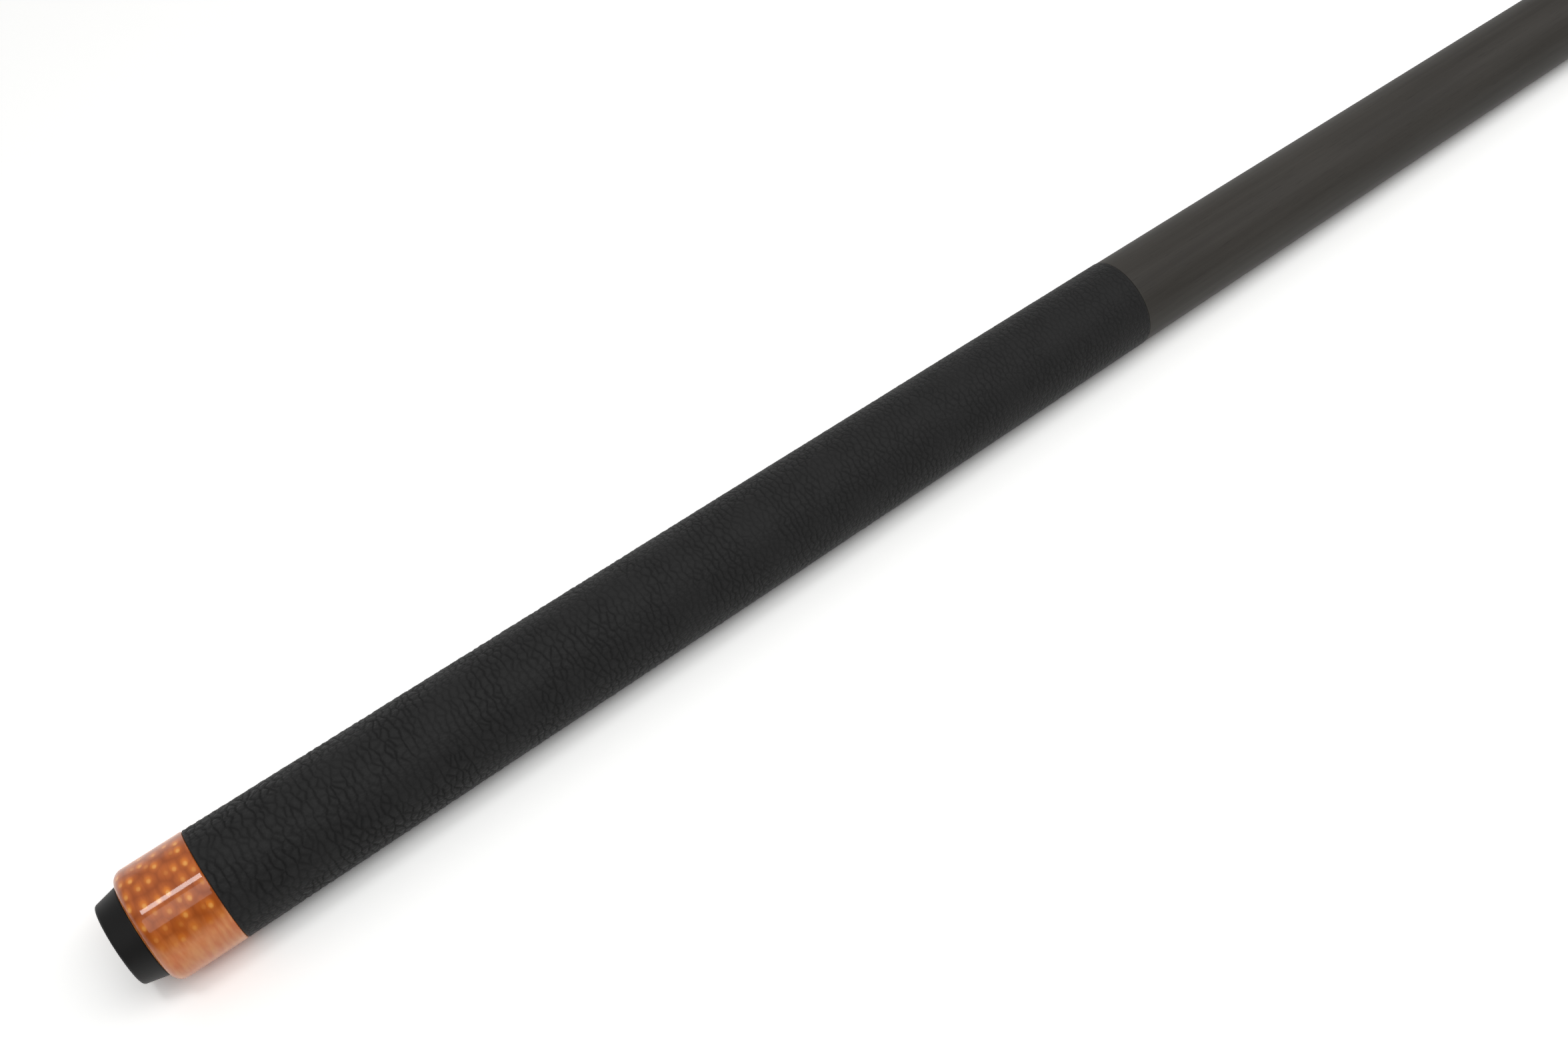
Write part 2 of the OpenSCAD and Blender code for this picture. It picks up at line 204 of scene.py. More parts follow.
def tumbled_leather():
    """Black drum-dyed cowhide, tumbled: a soft sheen on the pebbles, and painted shade that
    darkens the valleys and creases. Its mesh already has the pebbles, and the bump adds their
    fine relief."""
    material, tree, surface = new_material("tumbled_leather")
    hide = add(tree, "ShaderNodeUVMap", uv_map="hide").outputs[0]
    skin = add(tree, "ShaderNodeAttribute", attribute_name="skin").outputs["Fac"]
    creases, valleys = tumbled_grain(tree, hide)
    crease = add(tree, "ShaderNodeMath", {0: creases, 1: skin}, operation="MULTIPLY").outputs[0]
    valley = add(tree, "ShaderNodeMath", {0: valleys, 1: skin}, operation="MULTIPLY").outputs[0]
    pores = add(tree, "ShaderNodeTexNoise", {"Vector": hide, "Scale": 1 / PORE_SIZE, "Detail": 3.0},
                noise_dimensions="2D")
    pebbles = add(tree, "ShaderNodeTexVoronoi",
                  {"Vector": hide, "Scale": 1 / SMALL_PEBBLE, "Smoothness": 0.6},
                  voronoi_dimensions="2D", feature="SMOOTH_F1")
    # Painted shade: valleys and creases are darkened from #303030 towards #161616, as shade between
    # the pebbles
    shadow = add(tree, "ShaderNodeMath", {0: valley, 1: VALLEY_PAINTED_SHADE}, operation="MULTIPLY")
    painted_shade = add(tree, "ShaderNodeMath", {0: crease, 1: CREASE_PAINTED_SHADE, 2: shadow.outputs[0]},
              operation="MULTIPLY_ADD")
    tone = add(tree, "ShaderNodeMix",
               {"Factor": painted_shade.outputs[0], COLOUR_A: linear("#303030"), COLOUR_B: linear("#161616")},
               data_type="RGBA")
    polish = add(tree, "ShaderNodeMapRange",
                 {"Value": pores.outputs[0], "From Min": 0.3, "From Max": 0.7,
                  "To Min": 0.48, "To Max": 0.62})
    roughness = add(tree, "ShaderNodeMath", {0: crease, 1: 0.2, 2: polish.outputs[0]},
                    operation="MULTIPLY_ADD")
    pore_depth = add(tree, "ShaderNodeMath", {0: pores.outputs[0], 1: PORE_RELIEF},
                     operation="MULTIPLY")
    rounded = add(tree, "ShaderNodeMath",
                  {0: pebbles.outputs["Distance"], 1: -PEBBLE_FALL, 2: pore_depth.outputs[0]},
                  operation="MULTIPLY_ADD")
    sides = add(tree, "ShaderNodeMath", {0: valley, 1: -VALLEY_RELIEF, 2: rounded.outputs[0]},
                operation="MULTIPLY_ADD")
    height = add(tree, "ShaderNodeMath", {0: crease, 1: -CREASE_RELIEF, 2: sides.outputs[0]},
                 operation="MULTIPLY_ADD")
    bump = add(tree, "ShaderNodeBump", {"Height": height.outputs[0], "Distance": MM, "Strength": 1.0})
    connect(tree, surface, {"Base Color": tone.outputs[COLOUR_OUT], "Roughness": roughness.outputs[0],
                            "Normal": bump.outputs[0], "Specular IOR Level": 0.10})
    return material


def wood(name, light, dark, pore, roughness, coat, gloss):
    """Straight-grained maple: long streaks of the growth rings, short flecks and fine pores."""
    material, tree, surface = new_material(name)
    streaks = add(tree, "ShaderNodeTexNoise",
                  {"Vector": stretched(tree, 90, 2.2), "Scale": 1.0, "Detail": 4.0, "Roughness": 0.6})
    flecks = add(tree, "ShaderNodeTexNoise",
                 {"Vector": stretched(tree, 7, 0.35), "Scale": 1.0, "Detail": 2.0})
    cloud = add(tree, "ShaderNodeTexNoise",
                {"Vector": stretched(tree, 60, 14), "Scale": 1.0, "Detail": 2.0})
    band = add(tree, "ShaderNodeMapRange",
               {"Value": streaks.outputs[0], "From Min": 0.3, "From Max": 0.7})
    tone = add(tree, "ShaderNodeMix",
               {"Factor": band.outputs[0], COLOUR_A: linear(dark), COLOUR_B: linear(light)},
               data_type="RGBA")
    fleck = add(tree, "ShaderNodeMapRange",
                {"Value": flecks.outputs[0], "From Min": 0.62, "From Max": 0.74, "To Max": 0.55})
    flecked = add(tree, "ShaderNodeMix",
                  {"Factor": fleck.outputs[0], COLOUR_A: tone.outputs[COLOUR_OUT],
                   COLOUR_B: linear(pore)}, data_type="RGBA")
    shade = add(tree, "ShaderNodeMapRange",
                {"Value": cloud.outputs[0], "From Min": 0.3, "From Max": 0.7,
                 "To Min": 0.9, "To Max": 1.1})
    final = add(tree, "ShaderNodeVectorMath",
                {0: flecked.outputs[COLOUR_OUT], "Scale": shade.outputs[0]}, operation="SCALE")
    bump = add(tree, "ShaderNodeBump",
               {"Height": flecks.outputs[0], "Distance": 0.02 * MM, "Strength": 1.0})
    connect(tree, surface, {"Base Color": final.outputs[0], "Roughness": roughness,
                            "Normal": bump.outputs[0], "Coat Weight": coat, "Coat Roughness": 0.25,
                            "Specular IOR Level": gloss})
    return material


# The resin, in mm: how far apart its pearls are, along the cue and round it, how far the
# painted highlight, the glint, of each lies to one side, how long its streaks are both ways,
# and where round the cue, how wide and with what edge a band runs on the lower side where the
# pearls thin out and the colour is painted paler, as painted light for the floor's light
# coming through the resin
PEARL_SPACING = (3.2, 4.2)
PEARL_PAINTED_GLINT = 0.5
STREAK_SIZE = (1.6, 8.0)
UNDERLIGHT_FLOW, UNDERLIGHT_FLOW_CORE, UNDERLIGHT_FLOW_REACH = 22, 4, 12
# From none to full, in shares of that spacing: a pearl's halo from its middle, its core (a
# painted highlight) from the glint, and the painted shade in the gap between pearls
HALO, PAINTED_GLINT_SPAN, PAINTED_SHADE_GAP = (0.47, 0.05), (0.26, 0.04), (0.35, 0.80)


def cast_amber_resin():
    """Cast resin with pearls of pigment under a polished skin: soft dots that glow in clear
    amber, each with a painted highlight at its glint and painted shade in the gaps between
    them. A band on the lower side, where the pearls thin out, is painted paler for the light
    that comes through the resin from below. The sheen stands for the light that comes through
    its edges."""
    material, tree, surface = new_material("cast_amber_resin")
    skin = add(tree, "ShaderNodeUVMap", uv_map="hide").outputs[0]
    lattice = add(tree, "ShaderNodeVectorMath",
                  {0: skin, 1: (1 / PEARL_SPACING[0], 1 / PEARL_SPACING[1], 0)},
                  operation="MULTIPLY").outputs[0]
    pearls = add(tree, "ShaderNodeTexVoronoi", {"Vector": lattice, "Scale": 1.0, "Randomness": 0.6},
                 voronoi_dimensions="2D")
    # Painted highlight: each pearl's glint, a bright spot a little to one side, as if lit from there
    painted_glint_place = add(tree, "ShaderNodeVectorMath",
                {0: pearls.outputs["Position"], 1: (0, PEARL_PAINTED_GLINT / PEARL_SPACING[1], 0)},
                operation="ADD")
    from_painted_glint = add(tree, "ShaderNodeVectorMath", {0: lattice, 1: painted_glint_place.outputs[0]},
                     operation="DISTANCE")
    # A band on the lower side where the pearls thin out and the colour is painted paler: painted light
    # for the floor's light through the resin
    round_cue = add(tree, "ShaderNodeSeparateXYZ", {0: skin}).outputs[1]
    from_flow = add(tree, "ShaderNodeMath", {0: round_cue, 1: UNDERLIGHT_FLOW}, operation="SUBTRACT")
    off_flow = add(tree, "ShaderNodeMath", {0: from_flow.outputs[0]}, operation="ABSOLUTE")
    underlight_flow = add(tree, "ShaderNodeMapRange",
               {"Value": off_flow.outputs[0], "From Min": UNDERLIGHT_FLOW_REACH, "From Max": UNDERLIGHT_FLOW_CORE},
               interpolation_type="SMOOTHSTEP").outputs[0]
    chance = add(tree, "ShaderNodeSeparateColor", {0: pearls.outputs["Color"]})
    most = add(tree, "ShaderNodeMapRange", {"Value": chance.outputs[0], "To Min": 0.15, "To Max": 1.0})
    strength = add(tree, "ShaderNodeMapRange",
                   {"Value": underlight_flow, "To Min": most.outputs[0], "To Max": 0.1}).outputs[0]
    halo = add(tree, "ShaderNodeMapRange",
               {"Value": pearls.outputs["Distance"], "From Min": HALO[0], "From Max": HALO[1],
                "To Max": strength}, interpolation_type="SMOOTHERSTEP")
    # Painted highlight: the glint's bright core, shown in #ffb45a
    painted_glint = add(tree, "ShaderNodeMapRange",
               {"Value": from_painted_glint.outputs["Value"], "From Min": PAINTED_GLINT_SPAN[0], "From Max": PAINTED_GLINT_SPAN[1],
                "To Max": strength}, interpolation_type="SMOOTHERSTEP")
    # Painted shade: the colour darkens between the pearls towards #9a4410, so that they look domed
    gap_shade = add(tree, "ShaderNodeMapRange",
              {"Value": pearls.outputs["Distance"], "From Min": PAINTED_SHADE_GAP[0], "From Max": PAINTED_SHADE_GAP[1],
               "To Max": 0.7}, interpolation_type="SMOOTHSTEP")
    streak_place = add(tree, "ShaderNodeVectorMath",
                       {0: skin, 1: (1 / STREAK_SIZE[0], 1 / STREAK_SIZE[1], 0)},
                       operation="MULTIPLY")
    streaks = add(tree, "ShaderNodeTexNoise",
                  {"Vector": streak_place.outputs[0], "Scale": 1.0, "Detail": 3.0},
                  noise_dimensions="2D")
    share = add(tree, "ShaderNodeMapRange",
                {"Value": streaks.outputs[0], "From Min": 0.3, "From Max": 0.7})
    ground = add(tree, "ShaderNodeMix",
                 {"Factor": share.outputs[0], COLOUR_A: linear("#b95a1b"),
                  COLOUR_B: linear("#cc6a2b")}, data_type="RGBA")
    shaded = add(tree, "ShaderNodeMix",
                 {"Factor": gap_shade.outputs[0], COLOUR_A: ground.outputs[COLOUR_OUT],
                  COLOUR_B: linear("#9a4410")}, data_type="RGBA")
    # Painted light: the band's paler orange stands for the floor's light coming through the resin
    painted_underlight = add(tree, "ShaderNodeMix",
               {"Factor": share.outputs[0], COLOUR_A: linear("#ec7c38"), COLOUR_B: linear("#ffa862")},
               data_type="RGBA")
    underlight_share = add(tree, "ShaderNodeMath", {0: underlight_flow, 1: 0.85}, operation="MULTIPLY")
    with_painted_underlight = add(tree, "ShaderNodeMix",
                  {"Factor": underlight_share.outputs[0], COLOUR_A: shaded.outputs[COLOUR_OUT],
                   COLOUR_B: painted_underlight.outputs[COLOUR_OUT]}, data_type="RGBA")
    glowing = add(tree, "ShaderNodeMix",
                  {"Factor": halo.outputs[0], COLOUR_A: with_painted_underlight.outputs[COLOUR_OUT],
                   COLOUR_B: linear("#f0882c")}, data_type="RGBA")
    tone = add(tree, "ShaderNodeMix",
               {"Factor": painted_glint.outputs[0], COLOUR_A: glowing.outputs[COLOUR_OUT],
                COLOUR_B: linear("#ffb45a")}, data_type="RGBA")
    connect(tree, surface, {"Base Color": tone.outputs[COLOUR_OUT], "Roughness": 0.4,
                            "Specular IOR Level": 0.1, "Coat Weight": 0.8, "Coat Roughness": 0.06,
                            "Coat IOR": 1.5, "Sheen Weight": 0.3, "Sheen Roughness": 0.4,
                            "Sheen Tint": linear("#ffa860")})
    return material


def moulded_rubber():
    """Natural rubber from a blasted mould: black, dull, with a grey bloom where light grazes."""
    material, tree, surface = new_material("moulded_rubber")
    grain = add(tree, "ShaderNodeTexNoise",
                {"Vector": stretched(tree, 0.3, 0.3), "Scale": 1.0, "Detail": 3.0})
    bloom = add(tree, "ShaderNodeTexNoise",
                {"Vector": stretched(tree, 6, 6), "Scale": 1.0, "Detail": 2.0})
    tone = add(tree, "ShaderNodeMix",
               {"Factor": bloom.outputs[0], COLOUR_A: linear("#0c0c0c"), COLOUR_B: linear("#141313")},
               data_type="RGBA")
    bump = add(tree, "ShaderNodeBump", {"Height": grain.outputs[0], "Distance": 0.03 * MM})
    connect(tree, surface, {"Base Color": tone.outputs[COLOUR_OUT], "Roughness": 0.55,
                            "Normal": bump.outputs[0], "Specular IOR Level": 0.28})
    return material


def turned_plastic(name, light, dark, roughness):
    """A hard plastic turned on a lathe and buffed: even colour, faint rings, a clear gloss."""
    material, tree, surface = new_material(name)
    rings = add(tree, "ShaderNodeTexNoise",
                {"Vector": stretched(tree, 0.25, 40), "Scale": 1.0, "Detail": 2.0})
    cloud = add(tree, "ShaderNodeTexNoise",
                {"Vector": stretched(tree, 2.5, 2.5), "Scale": 1.0, "Detail": 3.0})
    tone = add(tree, "ShaderNodeMix",
               {"Factor": cloud.outputs[0], COLOUR_A: linear(dark), COLOUR_B: linear(light)},
               data_type="RGBA")
    bump = add(tree, "ShaderNodeBump", {"Height": rings.outputs[0], "Distance": 0.004 * MM})
    connect(tree, surface, {"Base Color": tone.outputs[COLOUR_OUT], "Roughness": roughness,
                            "Normal": bump.outputs[0]})
    return material


def turned_metal(name, tint, roughness):
    """Bar stock turned on a lathe: a metal sheen broken by fine tool rings."""
    material, tree, surface = new_material(name)
    rings = add(tree, "ShaderNodeTexNoise",
                {"Vector": stretched(tree, 0.2, 60), "Scale": 1.0, "Detail": 3.0})
    stain = add(tree, "ShaderNodeTexNoise",
                {"Vector": stretched(tree, 5, 5), "Scale": 1.0, "Detail": 3.0})
    worn = add(tree, "ShaderNodeMapRange",
               {"Value": stain.outputs[0], "To Min": roughness - 0.08, "To Max": roughness + 0.08})
    bump = add(tree, "ShaderNodeBump", {"Height": rings.outputs[0], "Distance": 0.006 * MM})
    connect(tree, surface, {"Base Color": linear(tint), "Metallic": 1.0,
                            "Roughness": worn.outputs[0], "Normal": bump.outputs[0]})
    return material


def vulcanised_fibre():
    """Red fibre board: dense paper layers, matt, with a slightly fuzzy cut edge."""
    material, tree, surface = new_material("vulcanised_fibre")
    layers = add(tree, "ShaderNodeTexNoise",
                 {"Vector": stretched(tree, 0.12, 3), "Scale": 1.0, "Detail": 3.0})
    tone = add(tree, "ShaderNodeMix",
               {"Factor": layers.outputs[0], COLOUR_A: linear("#5e140f"), COLOUR_B: linear("#a5271c")},
               data_type="RGBA")
    bump = add(tree, "ShaderNodeBump", {"Height": layers.outputs[0], "Distance": 0.02 * MM})
    connect(tree, surface, {"Base Color": tone.outputs[COLOUR_OUT], "Roughness": 0.6,
                            "Normal": bump.outputs[0]})
    return material


def pressed_leather():
    """Tip of glued pigskin layers, pressed and turned: thin darker glue lines on the side."""
    material, tree, surface = new_material("pressed_leather")
    layer_count = 8
    tip_low, tip_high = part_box("tip")
    layer = (tip_high.x - tip_low.x) / MM / layer_count
    place = add(tree, "ShaderNodeSeparateXYZ", {0: stretched(tree, layer, 1.0)})
    saw = add(tree, "ShaderNodeMath", {0: place.outputs[0]}, operation="FRACT")
    line = add(tree, "ShaderNodeMapRange",
               {"Value": saw.outputs[0], "From Min": 0.8, "From Max": 0.95, "To Max": 0.7})
    fibres = add(tree, "ShaderNodeTexNoise",
                 {"Vector": stretched(tree, 0.25, 0.6), "Scale": 1.0, "Detail": 4.0})
    hide = add(tree, "ShaderNodeMix",
               {"Factor": fibres.outputs[0], COLOUR_A: linear("#5b3a20"), COLOUR_B: linear("#8a6038")},
               data_type="RGBA")
    tone = add(tree, "ShaderNodeMix",
               {"Factor": line.outputs[0], COLOUR_A: hide.outputs[COLOUR_OUT],
                COLOUR_B: linear("#2c1a0e")}, data_type="RGBA")
    bump = add(tree, "ShaderNodeBump", {"Height": fibres.outputs[0], "Distance": 0.08 * MM})
    connect(tree, surface, {"Base Color": tone.outputs[COLOUR_OUT], "Roughness": 0.75,
                            "Normal": bump.outputs[0]})
    return material


# ---------------------------------------------------------------- turned pieces

# Points of a CAD mesh closer than this are one point of its outline
SAME_POINT = 0.005 * MM


def outline(node):
    """The turned outline of a CAD node as (x, radius) points, closed if the piece has a bore."""
    mesh = frame["nodes"][node].data
    points, point_of = [], []
    for vertex in mesh.vertices:
        place = (vertex.co.x, hypot(vertex.co.y, vertex.co.z - AXIS_Z))
        near = (i for i, (x, radius) in enumerate(points)
                if hypot(x - place[0], radius - place[1]) < SAME_POINT)
        found = next(near, None)
        if found is None:
            found = len(points)
            points.append(place)
        point_of.append(found)
    next_to = {i: set() for i in range(len(points))}
    for edge in mesh.edges:
        a, b = (point_of[i] for i in edge.vertices)
        if a != b:
            next_to[a].add(b)
            next_to[b].add(a)
    # The outline of a piece with a bore is a ring, which has no ends to start from
    ends = sorted(i for i in next_to if len(next_to[i]) == 1)
    order = [ends[0] if ends else 0]
    while True:
        onward = [i for i in sorted(next_to[order[-1]]) if i not in order]
        if not onward:
            break
        order.append(onward[0])
    chain = [points[i] for i in order]
    if not ends:
        bore = chain.index(min(chain, key=lambda point: point[1]))
        return chain[bore:] + chain[:bore], True
    # A flat end has no point of its own on the axis
    if chain[0][1] > SAME_POINT:
        chain.insert(0, (chain[0][0], 0.0))
    if chain[-1][1] > SAME_POINT:
        chain.append((chain[-1][0], 0.0))
    return chain, False


def softened(chain, closed, fillet, sharper_than=radians(30), steps=4):
    """The outline with its sharp corners rounded, as a tool or a mould leaves them."""
    result = []
    count = len(chain)
    for i, corner in enumerate(chain):
        here = Vector(corner)
        before, after = Vector(chain[i - 1]), Vector(chain[(i + 1) % count])
        at_end = not closed and i in (0, count - 1)
        to_before, to_after = before - here, after - here
        turn = 0 if at_end else pi - to_before.angle(to_after)
        if turn < sharper_than:
            result.append(corner)
            continue
        reach = min(fillet * tan(turn / 2), to_before.length * 0.45, to_after.length * 0.45)
        start = here + to_before.normalized() * reach
        end = here + to_after.normalized() * reach
        for k in range(steps + 1):
            t = k / steps
            result.append(tuple(start * (1 - t) ** 2 + here * 2 * t * (1 - t) + end * t ** 2))
    return result


def guarded(chain, closed, guard=0.08 * MM, bend=radians(2)):
    """The outline with a point close to each bend on its long straights, so that the smooth
    shading of a bend doesn't spread along them."""
    count = len(chain)
    points = [Vector(point) for point in chain]

    def bends(i):
        if not closed and i in (0, count - 1):
            return False
        before, after = points[i] - points[i - 1], points[(i + 1) % count] - points[i]
        return before.angle(after) > bend

    result = []
    for i in range(count if closed else count - 1):
        here, onward = points[i], points[(i + 1) % count]
        result.append(tuple(here))
        run = onward - here
        if run.length < 8 * guard:
            continue
        if bends(i):
            result.append(tuple(here + run.normalized() * guard))
        if bends((i + 1) % count):
            result.append(tuple(onward - run.normalized() * guard))
    return result if closed else result + [chain[-1]]


def divided(chain, closed, step, fine):
    """The outline with its straights divided where fine(x, radius) holds at both their ends."""
    result = []
    pairs = zip(chain, chain[1:] + chain[:1]) if closed else zip(chain, chain[1:])
    for a, b in pairs:
        length = hypot(b[0] - a[0], b[1] - a[1])
        pieces = max(1, round(length / step)) if fine(*a) and fine(*b) else 1
        result += [(a[0] + (b[0] - a[0]) * k / pieces, a[1] + (b[1] - a[1]) * k / pieces)
                   for k in range(pieces)]
    return result if closed else result + [chain[-1]]


def radius_of(node):
    """Largest radius of a turned CAD node."""
    low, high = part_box(node)
    return (high.y - low.y) / 2


def evenly(columns):
    """Angles of the columns round a turned piece, from the underside."""
    return [2 * pi * k / columns - pi / 2 for k in range(columns)]


def spun_mesh(name, chain, closed, angles, relief=None):
    """Spins an outline about the cue's axis. relief(x, angle, radius) gives a depth to cut in.
    The map called hide holds mm along the outline and mm round the cue, with 0 at the top."""
    columns = len(angles)
    turns = angles + [angles[0] + 2 * pi]
    vertices, rings = [], []
    for x, radius in chain:
        if radius < SAME_POINT:
            rings.append([len(vertices)] * (columns + 1))
            vertices.append((x, 0.0, AXIS_Z))
            continue
        ring = []
        for angle in angles:
            depth = relief(x, angle, radius) if relief else 0.0
            ring.append(len(vertices))
            reach = radius - depth
            vertices.append((x, reach * cos(angle), AXIS_Z + reach * sin(angle)))
        rings.append(ring + ring[:1])
    faces, flat = [], []
    rows = list(range(len(chain))) + ([0] if closed else [])
    widest = max(radius for _, radius in chain)
    along = 0.0
    for a, b in zip(rows, rows[1:]):
        onward = along + hypot(chain[b][0] - chain[a][0], chain[b][1] - chain[a][1])
        for k in range(columns):
            corners = [(rings[a][k], along, k), (rings[a][k + 1], along, k + 1),
                       (rings[b][k + 1], onward, k + 1), (rings[b][k], onward, k)]
            # A ring on the axis is one point, so a face there has three corners, or is none
            kept = [c for i, c in enumerate(corners) if c[0] not in [d[0] for d in corners[:i]]]
            if len(kept) < 3:
                continue
            faces.append([c[0] for c in kept])
            flat += [(c[1] / MM, (turns[c[2]] - turns[0] - pi) * widest / MM) for c in kept]
        along = onward
    mesh = bpy.data.meshes.new(name)
    mesh.from_pydata(vertices, [], faces)
    layer = mesh.uv_layers.new(name="hide")
    layer.data.foreach_set("uv", [value for pair in flat for value in pair])
    return mesh


def finished_piece(name, mesh, material, slot, body, *nodes, sharp=radians(35)):
    """Puts a mesh in the scene as a piece of the cue that stands for CAD nodes."""
    form = bmesh.new()
    form.from_mesh(mesh)
    bmesh.ops.recalc_face_normals(form, faces=form.faces)
    form.to_mesh(mesh)
    form.free()
    mesh.shade_smooth()
    mesh.set_sharp_from_angle(angle=sharp)
    mesh.materials.append(material)
    piece = placed(name, mesh)
    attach(piece, body)
    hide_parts(*nodes)
    return piece


def turned_piece(node, material, slot, fillet=0.15, columns=192):
    """A CAD node turned again with a finer surface and softened edges."""
    chain, closed = outline(node)
    chain = guarded(softened(chain, closed, fillet * MM), closed)
    mesh = spun_mesh(node + "_turned", chain, closed, evenly(columns))
    return finished_piece(node + "_turned", mesh, material, slot, BODY_OF[node], node)


# ---------------------------------------------------------------- threads

def pitch_of(joint):
    """Pitch of a screw joint, from how far its hinge turns for each metre of feed."""
    couplings = frame["record"]["behaviour"]["couplings"]
    ratio = next(c["ratio"] for c in couplings if c["joint"] == joint)
    return 2 * pi / abs(ratio)


JOINT_PITCH = pitch_of("shaft_screw")
WEIGHT_PITCH = pitch_of("weight_bolt_screw")
JOINT_THREAD_DEPTH = 0.90 * MM
WEIGHT_THREAD_DEPTH = 0.75 * MM
# Flat shares of the pitch at a thread's crest and at its root
CREST_SHARE, ROOT_SHARE = 0.22, 0.16
# Pitches over which a bore's thread fades at its ends
RUNOUT = 0.6
# On the radius: the gap that a bore leaves round its rod, and what the rod's thread is cut
# down by besides
BORE_GAP = 0.05 * MM
THREAD_FIT = 0.03 * MM
# Steps of a thread's mesh along each pitch and round the cue
THREAD_STEPS, THREAD_COLUMNS = 14, 72
THREAD_FILLET = 0.12 * MM
NEAR_RADIUS = 0.02 * MM
# Width of the weight bolt's hex socket
HEX_ACROSS_FLATS = 4.76 * MM


def depth_share(x, angle, pitch):
    """How deep a right-hand thread is at a place, from 0 on its crest to 1 at its root. Rods
    and bores share it, so they stay in mesh at every pose."""
    wave = abs(((x / pitch - angle / (2 * pi)) % 1) * 2 - 1)
    return max(0.0, min(1.0, (1 - CREST_SHARE - wave) / (1 - CREST_SHARE - ROOT_SHARE)))


def threaded_piece(node, material, slot, body, step, threaded, relief):
    """A turned piece with a relief on it, divided in steps where threaded(x, radius) holds."""
    chain, closed = outline(node)
    chain = guarded(softened(chain, closed, THREAD_FILLET), closed)
    chain = divided(chain, closed, step, threaded)
    mesh = spun_mesh(node + "_threaded", chain, closed, evenly(THREAD_COLUMNS), relief)
    return finished_piece(node + "_threaded", mesh, material, slot, body, node, sharp=radians(60))


def threaded_rod(node, material, slot, body, pitch, depth, radius, start=-1.0, across_flats=0.0):
    """A rod with its thread in front of start, and with a hex socket if it has a width."""
    socket_radius = across_flats / 2 / cos(radians(30))

    def threaded(x, r):
        return radius - depth < r < radius + NEAR_RADIUS

    def relief(x, angle, r):
        if across_flats and abs(r - socket_radius) < NEAR_RADIUS:
            from_flat = angle % radians(60) - radians(30)
            return r - across_flats / 2 / cos(from_flat)
        if x < start or r > radius + NEAR_RADIUS:
            return 0.0
        return max(0.0, r - (radius - THREAD_FIT - depth * depth_share(x, angle, pitch)))

    return threaded_piece(node, material, slot, body, pitch / THREAD_STEPS, threaded, relief)


def threaded_bore(node, material, slot, body, pitch, depth, rod_radius):
    """A nut or sleeve for a rod of this radius, with its thread fading at both ends."""
    radius = rod_radius + BORE_GAP

    def threaded(x, r):
        return abs(r - radius) < NEAR_RADIUS

    bore = [x for x, r in outline(node)[0] if threaded(x, r)]
    rear, front = min(bore), max(bore)

    def relief(x, angle, r):
        if not threaded(x, r):
            return 0.0
        inside = min(x - rear, front - x) / (RUNOUT * pitch)
        return depth * depth_share(x, angle, pitch) * max(0.0, min(1.0, inside))

    return threaded_piece(node, material, slot, body, pitch / THREAD_STEPS, threaded, relief)


# ---------------------------------------------------------------- leather wrap

# The wrap's mesh round the cue and along it, fine enough for the grain
WRAP_COLUMNS = 153
WRAP_STEP = 0.54 * MM
LEATHER_THICKNESS = 0.95 * MM
LEATHER_FILLET = 0.25 * MM
SEAM_DEPTH = 0.25 * MM
SEAM_HALF_WIDTH = 0.2 * MM
# How far beside the seam, and from the wrap's ends, the grain is pressed flat
SEAM_MARGIN = 1.5 * MM
PRESSED_EDGE = 1.2 * MM
# How much finer and flatter the grain is at the wrap's front end than at its rear end
FINER_ALONG, FINER_ROUND, FLATTER = 0.2, 0.4, 0.5


def grained(mesh, name):
    """The mesh with the hide's grain pressed into its skin, by the same nodes as its material."""
    tree = bpy.data.node_groups.new(name, "GeometryNodeTree")
    for way in ("INPUT", "OUTPUT"):
        tree.interface.new_socket("Geometry", in_out=way, socket_type="NodeSocketGeometry")
    source = add(tree, "NodeGroupInput")
    hide = add(tree, "GeometryNodeInputNamedAttribute", {"Name": "hide"}, data_type="FLOAT_VECTOR")
    skin = add(tree, "GeometryNodeInputNamedAttribute", {"Name": "skin"}, data_type="FLOAT")
    crease, valley = tumbled_grain(tree, hide.outputs["Attribute"])
    sunk = add(tree, "ShaderNodeMath", {0: crease, 1: -CREASE_DEPTH}, operation="MULTIPLY")
    height = add(tree, "ShaderNodeMath", {0: valley, 1: -VALLEY_DEPTH, 2: sunk.outputs[0]},
                 operation="MULTIPLY_ADD")
    kept = add(tree, "ShaderNodeMath", {0: height.outputs[0], 1: skin.outputs["Attribute"]},
               operation="MULTIPLY")
    place = add(tree, "GeometryNodeInputPosition")
    out = add(tree, "ShaderNodeVectorMath", {0: place.outputs[0], 1: (0, 1, 1), 2: (0, 0, -AXIS_Z)},
              operation="MULTIPLY_ADD")
    away = add(tree, "ShaderNodeVectorMath", {0: out.outputs[0]}, operation="NORMALIZE")
    metres = add(tree, "ShaderNodeMath", {0: kept.outputs[0], 1: MM}, operation="MULTIPLY")
    offset = add(tree, "ShaderNodeVectorMath", {0: away.outputs[0], "Scale": metres.outputs[0]},
                 operation="SCALE")
    moved = add(tree, "GeometryNodeSetPosition",
                {"Geometry": source.outputs[0], "Offset": offset.outputs[0]})
    add(tree, "NodeGroupOutput", {0: moved.outputs[0]})
    blank = placed(name, mesh)
    blank.modifiers.new(name, "NODES").node_group = tree
    evaluated = blank.evaluated_get(bpy.context.evaluated_depsgraph_get())
    result = bpy.data.meshes.new_from_object(evaluated)
    bpy.data.objects.remove(blank)
    return result


